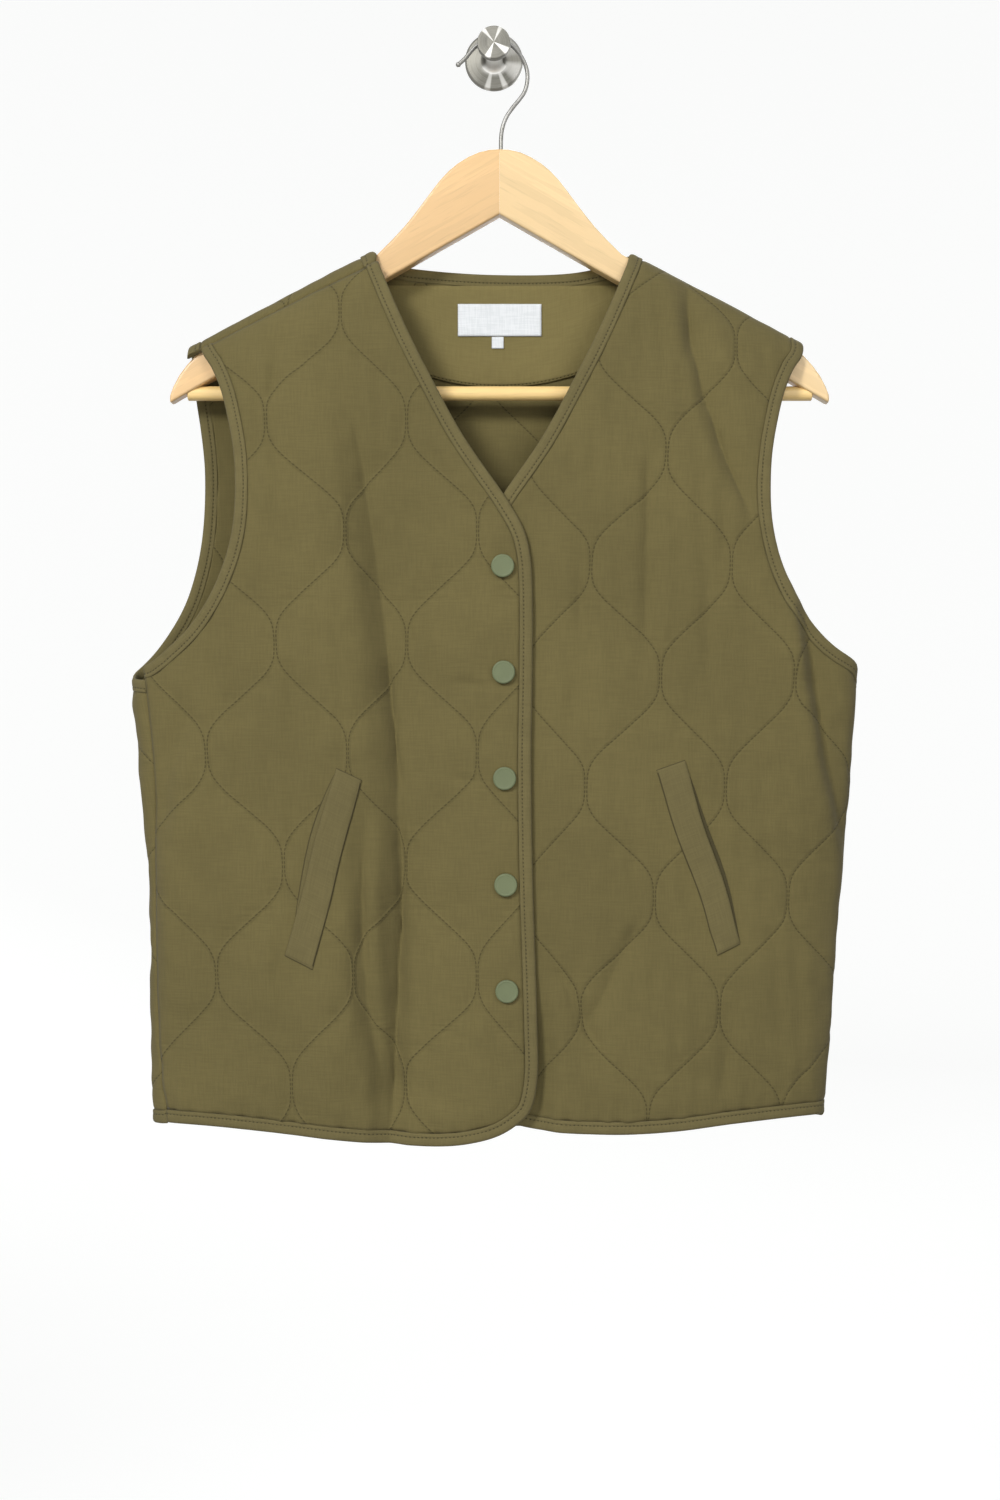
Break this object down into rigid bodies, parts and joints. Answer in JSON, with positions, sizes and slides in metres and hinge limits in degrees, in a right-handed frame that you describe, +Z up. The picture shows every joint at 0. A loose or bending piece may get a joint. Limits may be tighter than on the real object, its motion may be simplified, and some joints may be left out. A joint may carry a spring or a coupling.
{
  "type": "quilted vest on hanger and wall hook",
  "caption": "Sleeveless quilted vest with a snapped front and slanted welt pockets, on a wooden hanger hung from a round metal wall hook.",
  "frame": {"origin": "middle of the back face of the wall hook's plate, which lies on the wall at y = 0", "axes": "+X to the viewer's right, which is the wearer's left; +Y into the wall; +Z up"},
  "size_m": [0.4884, 0.0667, 0.7523],
  "materials": {
    "quilted_cloth": "matt woven olive cloth, quilted",
    "binding_cloth": "matt woven olive bias tape",
    "lining_cloth": "matt plain olive cloth",
    "label_cloth": "white satin ribbon",
    "snap_cap": "satin grey green",
    "hanger_wood": "clear satin lacquer",
    "bar_wood": "smooth turned dowel",
    "bright_wire": "bright plated wire",
    "brushed_steel": "brushed in rings"
  },
  "bodies": {
    "root": {"front_right": "quilted_cloth", "front_left": "quilted_cloth", "back": "quilted_cloth", "binding_front_right": "binding_cloth", "binding_armhole_right": "binding_cloth", "pocket_welt_right": "binding_cloth", "binding_front_left": "binding_cloth", "binding_armhole_left": "binding_cloth", "pocket_welt_left": "binding_cloth", "binding_back_neck": "binding_cloth", "binding_back_hem": "binding_cloth", "facing_back_neck": "lining_cloth", "label": "label_cloth", "label_tab": "label_cloth", "snap_1": "snap_cap", "snap_2": "snap_cap", "snap_3": "snap_cap", "snap_4": "snap_cap", "snap_5": "snap_cap", "hanger_arm_right": "hanger_wood", "hanger_arm_left": "hanger_wood", "hanger_bar": "bar_wood", "hanger_hook": "bright_wire", "wall_hook": "brushed_steel"}
  },
  "joints": []
}
